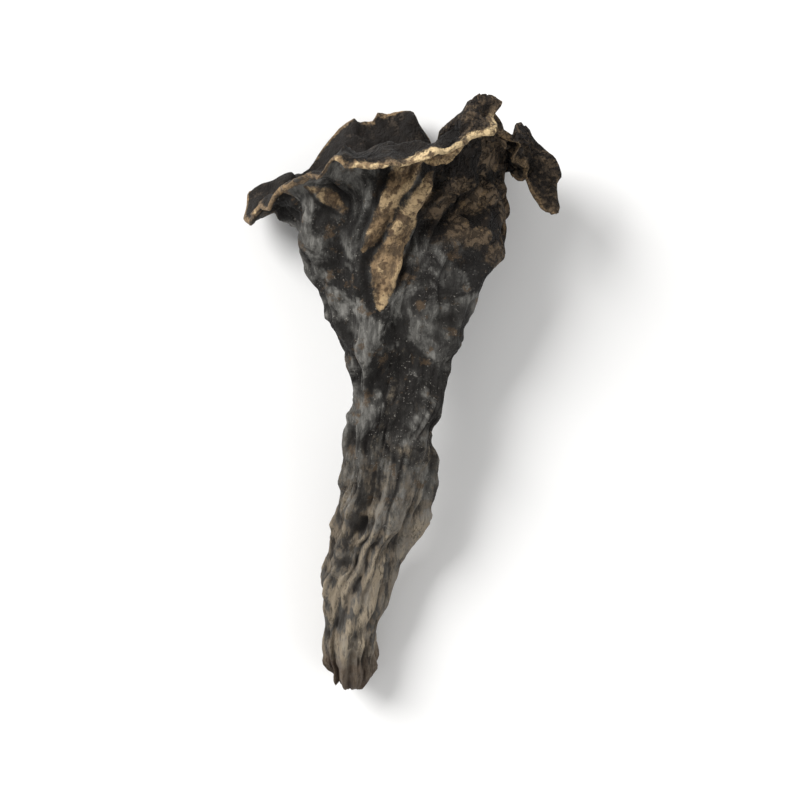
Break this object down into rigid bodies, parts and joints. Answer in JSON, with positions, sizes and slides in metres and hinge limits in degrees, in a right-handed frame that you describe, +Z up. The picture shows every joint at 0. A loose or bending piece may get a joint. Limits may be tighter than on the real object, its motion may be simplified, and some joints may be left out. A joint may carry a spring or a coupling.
{
  "type": "dried black trumpet mushroom",
  "caption": "Dried black trumpet mushroom lying on its side: a shrivelled hollow funnel with a curled, split lip, narrowing into a furrowed stem.",
  "frame": {"origin": "on the surface that the mushroom lies on, under the middle of its bounding box", "axes": "+Y from the stem's foot to the mouth, +Z up"},
  "size_m": [0.0292, 0.0544, 0.0193],
  "materials": {
    "dried_flesh": "dull, dry and finely wrinkled"
  },
  "bodies": {
    "root": {"trumpet": "dried_flesh"}
  },
  "joints": []
}
